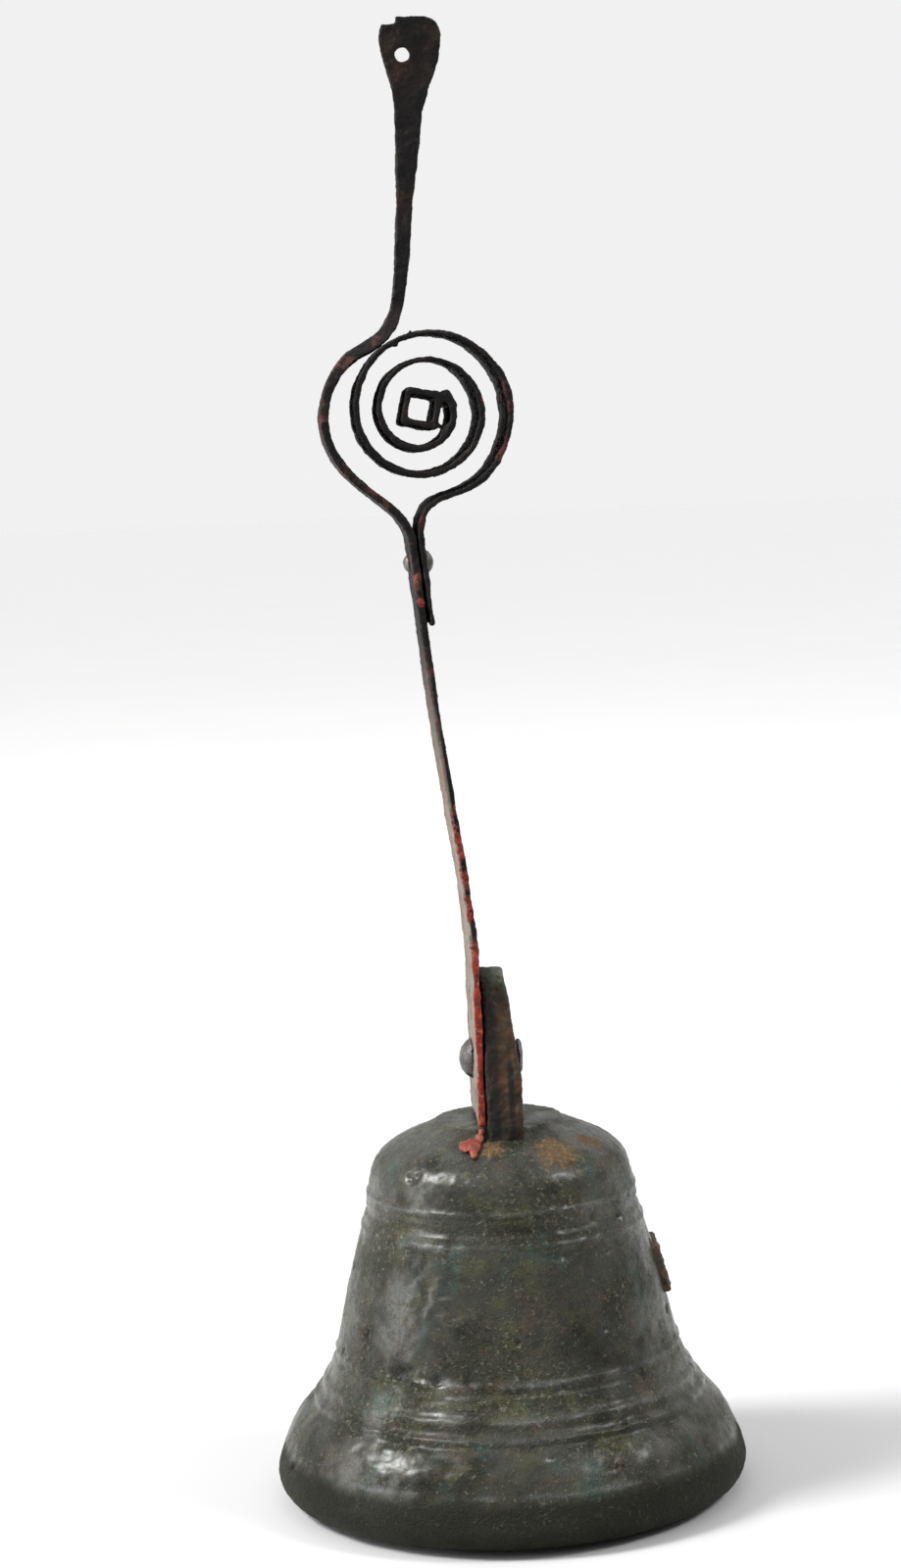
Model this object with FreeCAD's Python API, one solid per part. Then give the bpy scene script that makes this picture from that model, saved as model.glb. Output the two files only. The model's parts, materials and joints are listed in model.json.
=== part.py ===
import FreeCAD
import Part
import math
import os

# A servants' call bell on a coiled spring. Millimetres, +Z up, origin at the
# centre of the mouth, on the plane the rim stands on. X lies in the plane of
# the coil and Y runs across the width of the spring strip.

# Bell casting, measured from the mouth plane
mouth_radius = 57.15
mouth_height = 5.8
rim_outer_radius = 47.5
rim_inner_radius = 46.0
lip_height = 14.2
lip_radius = 54.8
bow_height = 23.4
bow_radius = 48.6
waist_height = 44.8
waist_radius = 39.7
shoulder_height = 76.2
shoulder_radius = 32.1
crown_height = 91.0
crown_disc_radius = 15.6
crown_disc_step = 1.0
wall_at_bow = 6.6
wall_at_waist = 4.3
wall_at_shoulder = 3.6
wall_at_crown = 5.7
lip_wall_share = 1.65
ceiling_inset = 3.0

# Raised rings (height, section radius) and sunk rings on the bell
raised_rings = ((25.0, 0.6), (28.6, 0.9), (36.2, 0.6), (66.2, 0.7), (74.0, 0.6))
sunk_rings = ((24.0, 0.55), (34.6, 0.45), (70.1, 0.7))

# Blank cast pad on the bell's right flank
pad_height = 52.5
pad_tall = 12.0
pad_wide = 15.0
pad_proud = 1.1

# Cast lug on the crown
lug_width = 38.0
lug_rise = 36.0
lug_thick_base = 8.6
lug_thick_top = 6.0
lug_arch_radius = 15.0
lug_seam_width = 1.2
lug_seam_rise = 18.0
lug_edge_round = 1.0
lug_root = 3.0

# Iron strip, the arm forged from it and the pull tab on its top end
strip_width = 31.75
arm_thick = 2.0
arm_foot_gap = 0.5
arm_seat_gap = 0.05
arm_straight = 34.0
arm_bow_swell = 0.4
stem_thick = 3.1
stem_depth = 6.0
tab_width = 14.8
tab_thick = 2.4
tab_rise = 90.7
tab_lean = 1.7
tab_corner = 4.5
tab_hole_radius = 1.7
tab_hole_drop = 8.8
tab_hole_offset = -2.0
tab_chip_wide = 4.2
tab_chip_deep = 1.6

# Centre line of the arm past the joint with the coil, as offsets from the eye
joint_top = (-3.4, -30.5)
joint_bottom = (-1.7, -49.5)
bow_outline = (
    (-6.6, -24.2), (-12.0, -19.4), (-19.0, -12.4), (-22.5, -3.0), (-20.7, 6.1), (-15.3, 12.9),
)
bow_touch = 120.0
bow_touch_turns = 2
stem_outline = ((-5.2, 21.0), (-3.5, 27.0), (-1.9, 41.0), (-0.3, 58.0), (0.7, 70.0))

# Thickness of stem and tab in the coil's plane: distance below the top, share
stem_taper = (
    (22.0, 2.2), (29.0, 1.8), (38.0, 1.5), (47.0, 1.26), (56.0, 1.13), (65.0, 1.0), (78.0, 1.0),
)
tab_taper = ((0.0, 0.97), (5.0, 1.0), (10.0, 0.9), (16.5, 0.6))

# Spiral spring, wound outwards from a square eye
eye_x = -11.6
eye_rise = 169.3
eye_socket = 5.5
eye_turn = -12.0
eye_slit = 0.25
eye_lap = 0.1
coil_thick = 1.7
tail_thick = 1.4
coil_start = 7.1
coil_pitch = 6.03
coil_spread = 0.68
coil_sag = 0.5
coil_turns = 2.17
coil_step = 30.0
coil_lead = (0.3, -23.2)
strip_gap = 0.2
tail_length = 20.0

# Rivets
spring_rivet_drop = 36.0
spring_rivet_shank = 1.6
spring_rivet_running = 0.08
spring_rivet_head_gap = 0.12
spring_rivet_head = 2.2
spring_rivet_dome = 1.4
spring_rivet_tail_head = 2.9
spring_rivet_tail_dome = 1.8
bell_rivet_rise = 14.2
bell_rivet_shank = 2.8
bell_rivet_slack = 0.05
bell_rivet_head = 5.1
bell_rivet_dome = 3.1
bell_rivet_tail_head = 4.2
bell_rivet_tail_dome = 1.5
bell_rivet_neck = 0.35

# Clapper hung inside the bell
staple_wire = 1.6
staple_reach = 5.0
staple_bend = 3.2
staple_root = 4.0
clapper_drop = 7.6
clapper_clearance = 0.3
clapper_eye_wire = 1.3
clapper_rod_radius = 1.7
clapper_ball_radius = 8.5
clapper_ball_height = 11.6
clapper_tip = 1.0

# Places worked out from the sizes above
eye_z = crown_height + eye_rise
arm_foot_x = -(lug_thick_base / 2 + 0.3)
lug_left = arm_foot_x + arm_thick / 2 + arm_seat_gap
rivet_z = crown_height + bell_rivet_rise
ceiling = crown_height - wall_at_crown
clapper_pivot_z = ceiling - clapper_drop
fuse_overlap = 0.01


def at(x, z, y=0.0):
    return FreeCAD.Vector(x, y, z)


def curve(points):
    """One smooth curve through the points given."""
    spline = Part.BSplineCurve()
    spline.interpolate(points)
    return spline


def line(a, b):
    return Part.LineSegment(a, b).toShape()


def interpolate(value, table):
    """Straight-line reading of a table of (position, value) rows."""
    for (a, low), (b, high) in zip(table, table[1:]):
        if value <= b:
            return low + (high - low) * max(0.0, value - a) / (b - a)
    return table[-1][1]


def spine_curves(runs):
    """Curves of a centre line: two points make a straight run, more a smooth one.

    A smooth run leaves and meets the straight runs beside it without a kink.
    """
    curves = []
    for i, points in enumerate(runs):
        if len(points) == 2:
            curves.append(Part.LineSegment(points[0], points[1]))
            continue
        spline = Part.BSplineCurve()
        before = runs[i - 1][-2:] if i > 0 else points[:2]
        after = runs[i + 1][:2] if i + 1 < len(runs) else points[-2:]
        spline.interpolate(
            Points=points,
            InitialTangent=(before[1] - before[0]).normalize(),
            FinalTangent=(after[1] - after[0]).normalize(),
            Scale=False,
        )
        curves.append(spline)
    return curves


def band(runs, thick_at, spacing, width):
    """A strip bent along its centre line in the XZ plane, centred on Y.

    thick_at gives the strip's thickness at a distance from the line's far end.
    """
    curves = spine_curves(runs)
    remaining = sum(c.length() for c in curves)
    ends, sides = [], []
    for spine in curves:
        stations = max(1, round(spine.length() / spacing))
        first, last = spine.FirstParameter, spine.LastParameter
        lefts, rights = [], []
        for i in range(stations + 1):
            u = first + (last - first) * i / stations
            along = spine.tangent(u)[0]
            done = spine.length(first, u) if i else 0.0
            side = FreeCAD.Vector(-along.z, 0, along.x) * (thick_at(remaining - done) / 2)
            lefts.append(spine.value(u) + side)
            rights.append(spine.value(u) - side)
        remaining -= spine.length()
        ends.append((lefts, rights))
    for lefts, rights in ends:
        for points in (lefts, rights):
            straight = len(points) == 2
            sides.append(line(*points) if straight else curve(points).toShape())
    sides.append(line(ends[0][0][0], ends[0][1][0]))
    sides.append(line(ends[-1][0][-1], ends[-1][1][-1]))
    face = Part.Face(Part.Wire(Part.__sortEdges__(sides)))
    face.translate(FreeCAD.Vector(0, -width / 2, 0))
    return face.extrude(FreeCAD.Vector(0, width, 0))


def turned_x(outline, x, y, z):
    """A round solid about an axis along X, from (distance, radius) corners."""
    corners = [at(d, r) for d, r in outline]
    face = Part.Face(Part.makePolygon(corners + corners[:1]))
    solid = face.revolve(FreeCAD.Vector(0, 0, 0), FreeCAD.Vector(1, 0, 0), 360)
    solid.translate(FreeCAD.Vector(x, y, z))
    return solid


def dome_x(foot, head_radius, height, direction):
    """A domed rivet head standing on x = foot and pointing along direction."""
    ball = (head_radius**2 + height**2) / (2 * height)
    sphere = Part.makeSphere(ball, at(foot + direction * (height - ball), 0))
    box_x = foot if direction > 0 else foot - height
    box = Part.makeBox(height, 2 * head_radius, 2 * head_radius)
    box.translate(FreeCAD.Vector(box_x, -head_radius, -head_radius))
    return sphere.common(box)


def bell_side_points():
    """Outside of the bell from the crown's disc down to the sound bow."""
    slope_x = shoulder_radius - crown_disc_radius
    slope_z = crown_height - crown_disc_step - shoulder_height
    upper = shoulder_height - waist_height
    lower = waist_height - bow_height
    narrow = waist_radius - shoulder_radius
    flare = bow_radius - waist_radius
    return [
        at(crown_disc_radius + 0.6, crown_height - crown_disc_step),
        at(crown_disc_radius + slope_x * 0.36, shoulder_height + slope_z * 0.84),
        at(crown_disc_radius + slope_x * 0.70, shoulder_height + slope_z * 0.64),
        at(crown_disc_radius + slope_x * 0.91, shoulder_height + slope_z * 0.38),
        at(shoulder_radius, shoulder_height),
        at(shoulder_radius + narrow * 0.24, waist_height + upper * 0.71),
        at(shoulder_radius + narrow * 0.64, waist_height + upper * 0.36),
        at(waist_radius, waist_height),
        at(waist_radius + flare * 0.24, bow_height + lower * 0.58),
        at(waist_radius + flare * 0.60, bow_height + lower * 0.22),
        at(bow_radius, bow_height),
    ]


def bell_profile():
    """Half section of the casting, in the XZ plane."""
    crown_edge = at(crown_disc_radius - 0.4, crown_height)
    side = bell_side_points()
    lip = at(lip_radius, lip_height)
    rim_out = at(rim_outer_radius, 0)
    rim_in = at(rim_inner_radius, 0)
    bulge = curve([
        side[-1],
        at(
            bow_radius + (lip_radius - bow_radius) * 0.62,
            lip_height + (bow_height - lip_height) * 0.52,
        ),
        lip,
    ])
    toe = curve([
        lip,
        at(mouth_radius - 0.6, mouth_height + (lip_height - mouth_height) * 0.45),
        at(mouth_radius, mouth_height),
        at(mouth_radius - 1.9, mouth_height * 0.42),
        at(mouth_radius - 5.4, mouth_height * 0.13),
        rim_out,
    ])
    ceiling_edge = at(crown_disc_radius - ceiling_inset, ceiling)
    inside = curve([
        rim_in,
        at(lip_radius - wall_at_bow * lip_wall_share, lip_height * 0.75),
        at(bow_radius - wall_at_bow, bow_height - 1.5),
        at(waist_radius - wall_at_waist, waist_height),
        at(shoulder_radius - wall_at_shoulder, shoulder_height - 5.0),
        at(crown_disc_radius + 5.0, ceiling - 2.4),
        ceiling_edge,
    ])
    edges = [
        line(at(0, crown_height), crown_edge),
        line(crown_edge, side[0]),
        curve(side).toShape(),
        bulge.toShape(),
        toe.toShape(),
        line(rim_out, rim_in),
        inside.toShape(),
        line(ceiling_edge, at(0, ceiling)),
        line(at(0, ceiling), at(0, crown_height)),
    ]
    return Part.Face(Part.Wire(edges))


def side_radius(height):
    """Radius of the bell's outside at a height on the waist."""
    spline = curve(bell_side_points())
    low, high = spline.FirstParameter, spline.LastParameter
    for _ in range(40):
        middle = (low + high) / 2
        if spline.value(middle).z > height:
            low = middle
        else:
            high = middle
    return spline.value(low).x


def lug():
    """Tombstone plate on the crown: thinner at the top, arched in side view."""
    base = crown_height - lug_root
    top = crown_height + lug_rise
    knee = crown_height + lug_rise * 0.3
    section = Part.makePolygon([
        at(lug_left, base),
        at(lug_left + lug_thick_base, base),
        at(lug_left + lug_thick_base, knee),
        at(lug_left + lug_thick_top, top),
        at(lug_left, top),
        at(lug_left, base),
    ])
    section.translate(FreeCAD.Vector(0, -lug_width / 2, 0))
    plate = Part.Face(section).extrude(FreeCAD.Vector(0, lug_width, 0))
    half = lug_width / 2
    spring_line = top - lug_arch_radius
    flank = lug_arch_radius + 0.5
    arch = [
        line(at(0, base, -half), at(0, base, half)),
        line(at(0, base, half), at(0, spring_line, flank)),
        Part.Arc(
            at(0, spring_line, flank), at(0, top, 0), at(0, spring_line, -flank)
        ).toShape(),
        line(at(0, spring_line, -flank), at(0, base, -half)),
    ]
    side = Part.Face(Part.Wire(arch))
    side.translate(FreeCAD.Vector(lug_left - 1, 0, 0))
    shape = plate.common(side.extrude(FreeCAD.Vector(lug_thick_base + 2, 0, 0)))
    rim = [e for e in shape.Edges if e.BoundBox.YLength > 1 and e.BoundBox.ZMax > base + 1]
    shape = shape.makeFillet(lug_edge_round, rim)
    return shape.cut(lug_seams())


def lug_seams():
    """Casting seam down the front and back edges of the lug."""
    base = crown_height - lug_root
    middle = lug_left + lug_thick_base * 0.36
    seams = []
    for face in (-1, 1):
        foot = face * lug_width / 2
        head = face * (lug_width / 2 - (lug_width / 2 - lug_arch_radius - 0.5) * 0.75)
        outer = Part.makePolygon([
            at(middle - lug_seam_width / 2, base, foot + face),
            at(middle + lug_seam_width / 2, base, foot + face),
            at(middle, base, foot - face * 1.4),
            at(middle - lug_seam_width / 2, base, foot + face),
        ])
        lean = FreeCAD.Vector(0, head - foot, lug_seam_rise + lug_root)
        seams.append(Part.Face(outer).extrude(lean))
    return Part.makeCompound(seams)


def pad():
    """Blank raised pad on the right flank, following the bell's slope."""
    top = side_radius(pad_height + pad_tall / 2)
    bottom = side_radius(pad_height - pad_tall / 2)
    lean = math.degrees(math.atan2(bottom - top, pad_tall))
    block = Part.makeBox(6, pad_wide, pad_tall, FreeCAD.Vector(-6, -pad_wide / 2, -pad_tall / 2))
    across = [e for e in block.Edges if e.BoundBox.XLength > 5]
    block = block.makeFillet(2.0, across)
    block.rotate(FreeCAD.Vector(0, 0, 0), FreeCAD.Vector(0, 1, 0), -lean)
    block.translate(FreeCAD.Vector(side_radius(pad_height) + pad_proud, 0, pad_height))
    return block


def bell():
    body = bell_profile().revolve(FreeCAD.Vector(0, 0, 0), FreeCAD.Vector(0, 0, 1), 360).Solids[0]
    for height, radius in raised_rings:
        ring = Part.makeTorus(side_radius(height), radius, at(0, height))
        body = body.fuse(ring)
    for height, radius in sunk_rings:
        ring = Part.makeTorus(side_radius(height) + radius * 0.3, radius, at(0, height))
        body = body.cut(ring)
    body = body.fuse(pad()).fuse(lug())
    hole = Part.makeCylinder(
        bell_rivet_shank + bell_rivet_slack, lug_thick_base + 4,
        at(lug_left - 2, rivet_z), FreeCAD.Vector(1, 0, 0),
    )
    body = body.cut(hole)
    for leg in (-staple_reach, staple_reach):
        body = body.cut(Part.makeCylinder(staple_wire, staple_root + 1, at(0, ceiling - 1, leg)))
    return body.removeSplitter().Solids[0]


def from_eye(offset):
    return at(eye_x + offset[0], eye_z + offset[1])


def joint_line():
    """Straight run where the coil's tail lies against the arm: top, bottom, normal."""
    top, bottom = from_eye(joint_top), from_eye(joint_bottom)
    along = (top - bottom).normalize()
    return top, bottom, FreeCAD.Vector(along.z, 0, -along.x)


def beside_coil(angle, thick):
    """Point of the arm's centre line where it passes the coil's outer turn."""
    wound = bow_touch_turns * 360 - angle
    reach = coil_radius(wound) + coil_thick / 2 + strip_gap + thick / 2
    turn = math.radians(angle)
    return at(eye_x + reach * math.cos(turn), eye_z + reach * math.sin(turn))


def arm_runs():
    """Centre line of the arm, from its foot on the crown to the top of the tab."""
    top, bottom, _ = joint_line()
    foot = at(arm_foot_x, crown_height + arm_foot_gap)
    knee = at(arm_foot_x, crown_height + arm_straight)
    middle = at(knee.x + (bottom.x - knee.x) * 0.46, knee.z + (bottom.z - knee.z) * 0.5)
    bow = [from_eye(p) for p in bow_outline]
    touch = [beside_coil(bow_touch, stem_thick)]
    stem = [from_eye(p) for p in stem_outline]
    tab = [from_eye((tab_lean - 0.1, tab_rise - 10.0)), from_eye((tab_lean, tab_rise))]
    return [[foot, knee], [knee, middle, bottom], [bottom, top], [top] + bow + touch + stem + tab]


def arm_thickness(below_top):
    """Thickness in the plane of the coil: pull tab, then stem, then plain strip."""
    tab = [(d, share * tab_width) for d, share in tab_taper]
    stem = [(d, share * stem_thick) for d, share in stem_taper]
    strip = [(92.0, arm_thick + arm_bow_swell), (112.0, arm_thick)]
    return interpolate(below_top, tab + stem + strip)


def arm_side():
    """Side view of the arm: full strip width, drawn down to stem and thin tab."""
    half, stem, tab = strip_width / 2, stem_depth / 2, tab_thick / 2
    right = [
        at(0, eye_z + 4.0, half),
        at(0, eye_z + 11.0, half * 0.88),
        at(0, eye_z + 17.5, half * 0.45),
        at(0, eye_z + 25.0, stem),
    ]
    upper = [
        at(0, eye_z + 25.0, stem),
        at(0, eye_z + 55.0, stem * 0.85),
        at(0, eye_z + tab_rise - 15.0, tab),
        at(0, eye_z + tab_rise + 1.0, tab),
    ]

    def mirrored(points):
        return [FreeCAD.Vector(p.x, -p.y, p.z) for p in points]

    foot = at(0, 0, half)
    edges = [
        line(foot, right[0]),
        curve(right).toShape(),
        curve(upper).toShape(),
        line(upper[-1], mirrored(upper)[-1]),
        curve(mirrored(upper)).toShape(),
        curve(mirrored(right)).toShape(),
        line(mirrored(right)[0], mirrored([foot])[0]),
        line(mirrored([foot])[0], foot),
    ]
    face = Part.Face(Part.Wire(Part.__sortEdges__(edges)))
    face.translate(FreeCAD.Vector(-80, 0, 0))
    return face.extrude(FreeCAD.Vector(120, 0, 0))


def spring_rivet_place():
    """Point on the arm's centre line where the rivet sits, and the strip's lean."""
    top, bottom, normal = joint_line()
    share = (eye_z - spring_rivet_drop - bottom.z) / (top.z - bottom.z)
    place = bottom + (top - bottom) * share
    lean = math.degrees(math.atan2(normal.z, normal.x))
    return place, lean


def lay_on_strip(shape):
    """Move a shape built about the X axis onto the riveted joint."""
    place, lean = spring_rivet_place()
    shape.rotate(FreeCAD.Vector(0, 0, 0), FreeCAD.Vector(0, 1, 0), -lean)
    shape.translate(place)
    return shape


def bell_arm():
    body = band(arm_runs(), arm_thickness, 2.0, strip_width).common(arm_side())
    body = body.Solids[0]
    top = eye_z + tab_rise
    corners = [
        e for e in body.Edges
        if e.BoundBox.ZMin > top - 1.5 and e.BoundBox.YLength > tab_thick * 0.9
        and e.BoundBox.XLength < 1.0
    ]
    body = body.makeFillet(tab_corner, corners)
    tab_x = eye_x + tab_lean
    hole = Part.makeCylinder(
        tab_hole_radius, strip_width,
        at(tab_x + tab_hole_offset, top - tab_hole_drop, -strip_width / 2), FreeCAD.Vector(0, 1, 0),
    )
    chip = Part.makeBox(tab_chip_wide + 5, strip_width, 10)
    chip.translate(at(tab_x - tab_width / 2 - 5, top - tab_chip_deep, -strip_width / 2))
    shank = Part.makeCylinder(
        spring_rivet_shank, arm_thick * 3, at(-arm_thick * 1.5, 0), FreeCAD.Vector(1, 0, 0)
    )
    bell_hole = Part.makeCylinder(
        bell_rivet_shank + bell_rivet_slack, arm_thick * 3,
        at(arm_foot_x - arm_thick * 1.5, rivet_z), FreeCAD.Vector(1, 0, 0),
    )
    body = body.cut(hole).cut(chip).cut(lay_on_strip(shank)).cut(bell_hole)
    return body.Solids[0]


def coil_radius(degrees):
    """Radius of the strip's centre line, degrees wound on from the right."""
    turn = degrees / 360
    angle = math.radians(-degrees)
    grown = coil_start + (coil_pitch + coil_spread * math.cos(angle)) * turn
    return grown - coil_sag * math.sin(angle)


def coil_point(degrees):
    angle = math.radians(-degrees)
    radius = coil_radius(degrees)
    return at(eye_x + radius * math.cos(angle), eye_z + radius * math.sin(angle))


def eye_frame(u, v):
    """A point given along and up from the eye's own square axes."""
    turn = math.radians(eye_turn)
    x = eye_x + u * math.cos(turn) - v * math.sin(turn)
    return at(x, eye_z + u * math.sin(turn) + v * math.cos(turn))


def coil_runs():
    """Centre line of the ribbon: over the eye, round the turns, down the arm."""
    reach = eye_socket / 2 + coil_thick / 2 + eye_lap
    over_eye = [eye_frame(0, reach), eye_frame(eye_socket / 2, reach)]
    steps = int(coil_turns * 360 / coil_step)
    turns = [coil_point(coil_step * i) for i in range(steps + 1)]
    top, bottom, normal = joint_line()
    start = top + normal * (arm_thick / 2 + strip_gap + coil_thick / 2)
    end = start + (bottom - top).normalize() * tail_length
    rounds = [over_eye[1], eye_frame(5.6, 2.9)] + turns + [from_eye(coil_lead), start]
    return [over_eye, rounds, [start, end]]


def coil_thickness(before_end):
    return interpolate(before_end, ((0.0, tail_thick), (tail_length * 0.6, coil_thick)))


def square_eye():
    """The strip folded round the wall peg, its end stopping short of the start."""
    inner = eye_socket / 2
    outer = inner + coil_thick
    block = Part.makeBox(2 * outer, strip_width, 2 * outer)
    block.translate(FreeCAD.Vector(-outer, -strip_width / 2, -outer))
    across = [e for e in block.Edges if e.BoundBox.YLength > strip_width / 2]
    block = block.makeFillet(coil_thick * 0.6, across)
    hole = Part.makeBox(2 * inner, strip_width + 2, 2 * inner)
    hole.translate(FreeCAD.Vector(-inner, -strip_width / 2 - 1, -inner))
    slit = Part.makeBox(coil_thick + 3, strip_width + 2, eye_slit)
    slit.translate(FreeCAD.Vector(inner - 0.2, -strip_width / 2 - 1, inner - eye_slit))
    ring = block.cut(hole).cut(slit)
    ring.rotate(FreeCAD.Vector(0, 0, 0), FreeCAD.Vector(0, 1, 0), -eye_turn)
    ring.translate(at(eye_x, eye_z))
    return ring


def coil_spring():
    ribbon = band(coil_runs(), coil_thickness, 1.5, strip_width)
    body = square_eye().fuse(ribbon)
    hole = Part.makeCylinder(
        spring_rivet_shank + spring_rivet_running, 8, at(0, 0), FreeCAD.Vector(1, 0, 0)
    )
    return body.cut(lay_on_strip(hole)).Solids[0]


def spring_rivet():
    left = -arm_thick / 2
    right = arm_thick / 2 + strip_gap + coil_thick + spring_rivet_head_gap
    shank = Part.makeCylinder(
        spring_rivet_shank, right - left, at(left, 0), FreeCAD.Vector(1, 0, 0)
    )
    head = dome_x(left, spring_rivet_head, spring_rivet_dome, -1)
    tail = dome_x(right, spring_rivet_tail_head, spring_rivet_tail_dome, 1)
    return lay_on_strip(shank.fuse([head, tail]).removeSplitter().Solids[0])


def bell_rivet():
    left = arm_foot_x - arm_thick / 2
    slope = (lug_thick_base - lug_thick_top) / (lug_rise * 0.7)
    right = lug_left + lug_thick_base - max(0.0, bell_rivet_rise - lug_rise * 0.3) * slope
    shank = Part.makeCylinder(
        bell_rivet_shank, right - left, at(left, rivet_z), FreeCAD.Vector(1, 0, 0)
    )
    head = dome_x(left, bell_rivet_head, bell_rivet_dome, -1)
    flat = turned_x(
        (
            (0, 0),
            (0, bell_rivet_tail_head * 0.95),
            (bell_rivet_tail_dome * 0.45, bell_rivet_tail_head),
            (bell_rivet_tail_dome * 0.85, bell_rivet_tail_head * 0.78),
            (bell_rivet_tail_dome, bell_rivet_tail_head * 0.3),
            (bell_rivet_tail_dome, 0),
        ),
        right + bell_rivet_neck, 0, rivet_z,
    )
    neck = Part.makeCylinder(
        bell_rivet_shank, bell_rivet_neck + fuse_overlap, at(right, rivet_z), FreeCAD.Vector(1, 0, 0)
    )
    head.translate(at(0, rivet_z))
    return shank.fuse([head, neck, flat]).removeSplitter().Solids[0]


def clapper_staple():
    """Iron loop with its two legs cast into the crown."""
    y, bend = staple_reach, staple_bend
    top = ceiling + staple_root
    bar = clapper_pivot_z
    side = bend * (1 - math.sqrt(0.5))
    path = Part.Wire([
        line(at(0, top, -y), at(0, bar + bend, -y)),
        Part.Arc(
            at(0, bar + bend, -y), at(0, bar + side, -y + side), at(0, bar, -y + bend)
        ).toShape(),
        line(at(0, bar, -y + bend), at(0, bar, y - bend)),
        Part.Arc(
            at(0, bar, y - bend), at(0, bar + side, y - side), at(0, bar + bend, y)
        ).toShape(),
        line(at(0, bar + bend, y), at(0, top, y)),
    ])
    section = Part.Wire(Part.makeCircle(staple_wire, at(0, top, -y), FreeCAD.Vector(0, 0, -1)))
    return path.makePipeShell([section], True, False)


def clapper_rod():
    """Shank with a ring forged round the staple and its foot through the ball."""
    ring_radius = staple_wire + clapper_clearance + clapper_eye_wire
    ring = Part.makeTorus(
        ring_radius, clapper_eye_wire, at(0, clapper_pivot_z), FreeCAD.Vector(0, 1, 0)
    )
    top = clapper_pivot_z - ring_radius
    bottom = clapper_ball_height - clapper_ball_radius - clapper_tip
    shank = Part.makeCylinder(clapper_rod_radius, top - bottom, at(0, bottom))
    neck = Part.makeCone(clapper_rod_radius, clapper_eye_wire * 0.8, 1.0, at(0, top))
    return shank.fuse([neck, ring]).removeSplitter().Solids[0]


def clapper_ball():
    ball = Part.makeSphere(clapper_ball_radius, at(0, clapper_ball_height))
    bore = Part.makeCylinder(
        clapper_rod_radius, 4 * clapper_ball_radius,
        at(0, clapper_ball_height - 2 * clapper_ball_radius),
    )
    return ball.cut(bore).Solids[0]


nodes = {
    "bell": bell,
    "bell_arm": bell_arm,
    "coil_spring": coil_spring,
    "spring_rivet": spring_rivet,
    "bell_rivet": bell_rivet,
    "clapper_staple": clapper_staple,
    "clapper_rod": clapper_rod,
    "clapper_ball": clapper_ball,
}

os.makedirs("parts", exist_ok=True)
for name, make in nodes.items():
    solid = make()
    solid.exportStep("parts/" + name + ".step")
    box = solid.BoundBox
    print(name, solid.isValid(), len(solid.Solids), round(solid.Volume, 1),
          [round(v, 2) for v in (box.XMin, box.XMax, box.YMin, box.YMax, box.ZMin, box.ZMax)])
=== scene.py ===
import bpy
import json
import math
import random
from mathutils import Matrix, Vector

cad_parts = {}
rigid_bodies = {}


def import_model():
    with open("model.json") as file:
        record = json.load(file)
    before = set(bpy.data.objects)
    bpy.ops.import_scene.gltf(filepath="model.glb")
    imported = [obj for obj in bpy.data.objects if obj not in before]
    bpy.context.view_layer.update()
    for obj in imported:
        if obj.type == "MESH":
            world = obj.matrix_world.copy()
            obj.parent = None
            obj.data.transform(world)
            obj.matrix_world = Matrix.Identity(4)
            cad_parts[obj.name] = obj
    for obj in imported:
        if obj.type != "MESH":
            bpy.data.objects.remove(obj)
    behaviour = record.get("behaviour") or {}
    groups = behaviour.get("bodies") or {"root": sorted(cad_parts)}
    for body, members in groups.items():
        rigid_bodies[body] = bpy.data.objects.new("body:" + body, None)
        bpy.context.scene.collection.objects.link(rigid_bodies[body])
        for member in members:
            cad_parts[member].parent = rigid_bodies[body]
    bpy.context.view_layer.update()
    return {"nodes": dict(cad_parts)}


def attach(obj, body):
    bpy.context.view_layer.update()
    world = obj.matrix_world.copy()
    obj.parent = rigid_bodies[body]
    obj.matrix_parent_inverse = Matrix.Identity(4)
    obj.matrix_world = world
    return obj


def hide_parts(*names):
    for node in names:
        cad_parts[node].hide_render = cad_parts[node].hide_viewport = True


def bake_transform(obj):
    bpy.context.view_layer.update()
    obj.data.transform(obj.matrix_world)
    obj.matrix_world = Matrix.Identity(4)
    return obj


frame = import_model()
eye = Vector((-0.0116, 0.0, 0.2603))  # middle of the square eye the coil hangs from


# selecting and finishing

def useOnly(*pieces):
    if bpy.context.object and bpy.context.object.mode != "OBJECT":
        bpy.ops.object.mode_set(mode="OBJECT")
    bpy.ops.object.select_all(action="DESELECT")
    for piece in pieces:
        piece.select_set(True)
    bpy.context.view_layer.objects.active = pieces[0]


def added(name):
    piece = bpy.context.object
    piece.name = name
    piece.data.name = name
    return piece


def pick(piece, test):  # select the vertices whose place passes a test
    useOnly(piece)
    bpy.ops.object.mode_set(mode="EDIT")
    bpy.ops.mesh.select_mode(type="VERT")
    bpy.ops.mesh.select_all(action="DESELECT")
    bpy.ops.object.mode_set(mode="OBJECT")
    for vertex in piece.data.vertices:
        vertex.select = test(vertex.co)
    bpy.ops.object.mode_set(mode="EDIT")


def settle(piece):  # place, turn and size go into the mesh
    useOnly(piece)
    bpy.ops.object.transform_apply(location=True, rotation=True, scale=True)


def modify(piece, kind, **settings):
    useOnly(piece)
    modifier = piece.modifiers.new(kind.lower(), kind)
    for key, value in settings.items():
        setattr(modifier, key, value)
    bpy.ops.object.modifier_apply(modifier=modifier.name)


def grain(name, size, depth=2, contrast=1.0):
    texture = bpy.data.textures.new(name, "CLOUDS")
    texture.noise_scale = size
    texture.noise_depth = depth
    texture.contrast = contrast
    return texture


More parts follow.
